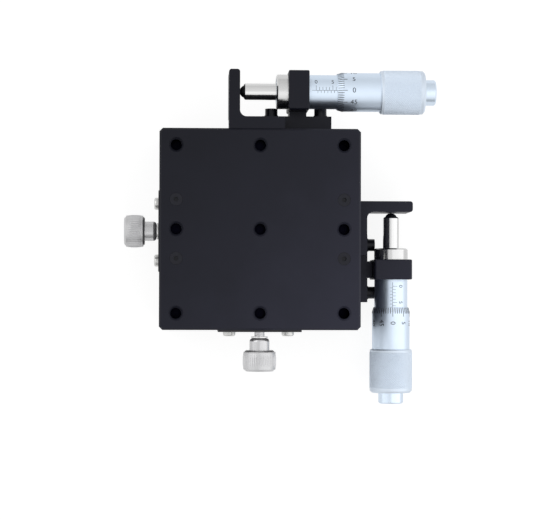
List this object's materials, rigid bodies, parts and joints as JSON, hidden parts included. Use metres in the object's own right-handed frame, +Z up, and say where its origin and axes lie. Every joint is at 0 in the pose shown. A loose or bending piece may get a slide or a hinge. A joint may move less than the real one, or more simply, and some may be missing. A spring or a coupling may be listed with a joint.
{
  "type": "two-axis linear translation stage",
  "caption": "Two-axis crossed-roller translation stage: two stacked black plates with tapped tops, each moved by a side-mounted micrometer head and held by a knurled lock screw.",
  "frame": {"origin": "centre of the lower base plate's bottom face, which is also under the middle of the table at mid travel", "axes": "+Z up out of the table top, +X along the upper stage's travel towards its micrometer's thimble, +Y along the lower stage's travel away from its micrometer's thimble"},
  "size_m": [0.0944, 0.1016, 0.036],
  "materials": {
    "black_anodised_plate": "black anodised, fine satin",
    "black_anodised_bracket": "black anodised, fine satin",
    "ground_rail_steel": "hardened and ground",
    "cage_brass": "stamped",
    "roller_steel": "ground",
    "black_screw_steel": "black oxide",
    "pin_steel": "ground",
    "spring_steel": "drawn wire",
    "satin_chrome_sleeve": "satin chrome, engraved scale",
    "satin_chrome_thimble": "satin chrome, engraved scale and knurled grip",
    "satin_chrome_cap": "satin chrome",
    "turned_steel": "turned",
    "spindle_steel": "ground and polished",
    "ball_steel": "polished",
    "blackened_lock_plate": "black oxide",
    "bright_screw_steel": "stainless",
    "knurled_knob_steel": "turned and knurled stainless"
  },
  "bodies": {
    "base": {"y_base": "black_anodised_plate", "y_outer_rail_micrometer_side": "ground_rail_steel", "y_outer_rail_lock_side": "ground_rail_steel", "y_base_rail_screws": "black_screw_steel", "y_preload_screws": "black_screw_steel", "y_base_spring_pin": "pin_steel", "y_micrometer_bracket": "black_anodised_bracket", "y_bracket_screws": "black_screw_steel", "y_clamp_screw": "black_screw_steel", "y_sleeve": "satin_chrome_sleeve", "y_stem_nut": "turned_steel", "y_lock_plate": "blackened_lock_plate", "y_lock_plate_screws": "bright_screw_steel"},
    "carriage": {"y_table": "black_anodised_plate", "y_inner_rail_micrometer_side": "ground_rail_steel", "y_inner_rail_lock_side": "ground_rail_steel", "y_table_rail_screws": "black_screw_steel", "y_table_spring_pin": "pin_steel", "y_return_spring": "spring_steel", "y_stop_bracket": "black_anodised_bracket", "y_stop_bracket_screws": "black_screw_steel", "stack_screws": "black_screw_steel", "x_base": "black_anodised_plate", "x_outer_rail_micrometer_side": "ground_rail_steel", "x_outer_rail_lock_side": "ground_rail_steel", "x_base_rail_screws": "black_screw_steel", "x_preload_screws": "black_screw_steel", "x_base_spring_pin": "pin_steel", "x_micrometer_bracket": "black_anodised_bracket", "x_bracket_screws": "black_screw_steel", "x_clamp_screw": "black_screw_steel", "x_sleeve": "satin_chrome_sleeve", "x_stem_nut": "turned_steel", "x_lock_plate": "blackened_lock_plate", "x_lock_plate_screws": "bright_screw_steel"},
    "table": {"x_table": "black_anodised_plate", "x_inner_rail_micrometer_side": "ground_rail_steel", "x_inner_rail_lock_side": "ground_rail_steel", "x_table_rail_screws": "black_screw_steel", "x_table_spring_pin": "pin_steel", "x_return_spring": "spring_steel", "x_stop_bracket": "black_anodised_bracket", "x_stop_bracket_screws": "black_screw_steel"},
    "y_cages": {"y_roller_cages": "cage_brass", "y_rollers": "roller_steel"},
    "x_cages": {"x_roller_cages": "cage_brass", "x_rollers": "roller_steel"},
    "y_tip": {"y_contact_ball": "ball_steel"},
    "x_tip": {"x_contact_ball": "ball_steel"},
    "y_thimble": {"y_spindle": "spindle_steel", "y_thimble": "satin_chrome_thimble", "y_thimble_cap": "satin_chrome_cap"},
    "x_thimble": {"x_spindle": "spindle_steel", "x_thimble": "satin_chrome_thimble", "x_thimble_cap": "satin_chrome_cap"},
    "y_washer": {"y_lock_washer": "turned_steel"},
    "x_washer": {"x_lock_washer": "turned_steel"},
    "y_lock": {"y_lock_screw": "knurled_knob_steel"},
    "x_lock": {"x_lock_screw": "knurled_knob_steel"}
  },
  "joints": [
    {"name": "x_travel", "type": "slide", "parent": "carriage", "child": "table", "axis": [1, 0, 0], "range_m": [-0.0065, 0.0065], "deforming": ["x_return_spring"]},
    {"name": "x_cage_travel", "type": "slide", "parent": "carriage", "child": "x_cages", "axis": [1, 0, 0], "range_m": [-0.00325, 0.00325]},
    {"name": "x_feed", "type": "slide", "parent": "carriage", "child": "x_tip", "axis": [1, 0, 0], "range_m": [-0.0065, 0.0065]},
    {"name": "x_micrometer_turn", "type": "hinge", "parent": "x_tip", "child": "x_thimble", "pos_m": [0, 0.0418, 0.0272], "axis": [1, 0, 0], "range_deg": [-4680, 4680]},
    {"name": "y_travel", "type": "slide", "parent": "base", "child": "carriage", "axis": [0, 1, 0], "range_m": [-0.0065, 0.0065], "deforming": ["y_return_spring"]},
    {"name": "y_cage_travel", "type": "slide", "parent": "base", "child": "y_cages", "axis": [0, 1, 0], "range_m": [-0.00325, 0.00325]},
    {"name": "y_feed", "type": "slide", "parent": "base", "child": "y_tip", "axis": [0, 1, 0], "range_m": [-0.0065, 0.0065]},
    {"name": "y_micrometer_turn", "type": "hinge", "parent": "y_tip", "child": "y_thimble", "pos_m": [0.0418, 0, 0.0092], "axis": [0, 1, 0], "range_deg": [-4680, 4680]},
    {"name": "x_lock_feed", "type": "slide", "parent": "table", "child": "x_washer", "axis": [0, -1, 0], "range_m": [-0.00138, 0.0005]},
    {"name": "x_lock_turn", "type": "hinge", "parent": "x_washer", "child": "x_lock", "pos_m": [0, 0, 0.0309], "axis": [0, -1, 0], "range_deg": [-993.6, 360]},
    {"name": "y_lock_feed", "type": "slide", "parent": "carriage", "child": "y_washer", "axis": [-1, 0, 0], "range_m": [-0.00008, 0.0014]},
    {"name": "y_lock_turn", "type": "hinge", "parent": "y_washer", "child": "y_lock", "pos_m": [0, 0, 0.0129], "axis": [-1, 0, 0], "range_deg": [-57.6, 1008]}
  ],
  "couplings": [
    {"joint": "x_cage_travel", "follows": "x_travel", "ratio": 0.5},
    {"joint": "x_feed", "follows": "x_travel", "ratio": 1},
    {"joint": "x_micrometer_turn", "follows": "x_travel", "rad_per_m": 12566},
    {"joint": "y_cage_travel", "follows": "y_travel", "ratio": 0.5},
    {"joint": "y_feed", "follows": "y_travel", "ratio": 1},
    {"joint": "y_micrometer_turn", "follows": "y_travel", "rad_per_m": 12566},
    {"joint": "x_lock_turn", "follows": "x_lock_feed", "rad_per_m": 12566},
    {"joint": "y_lock_turn", "follows": "y_lock_feed", "rad_per_m": 12566}
  ]
}
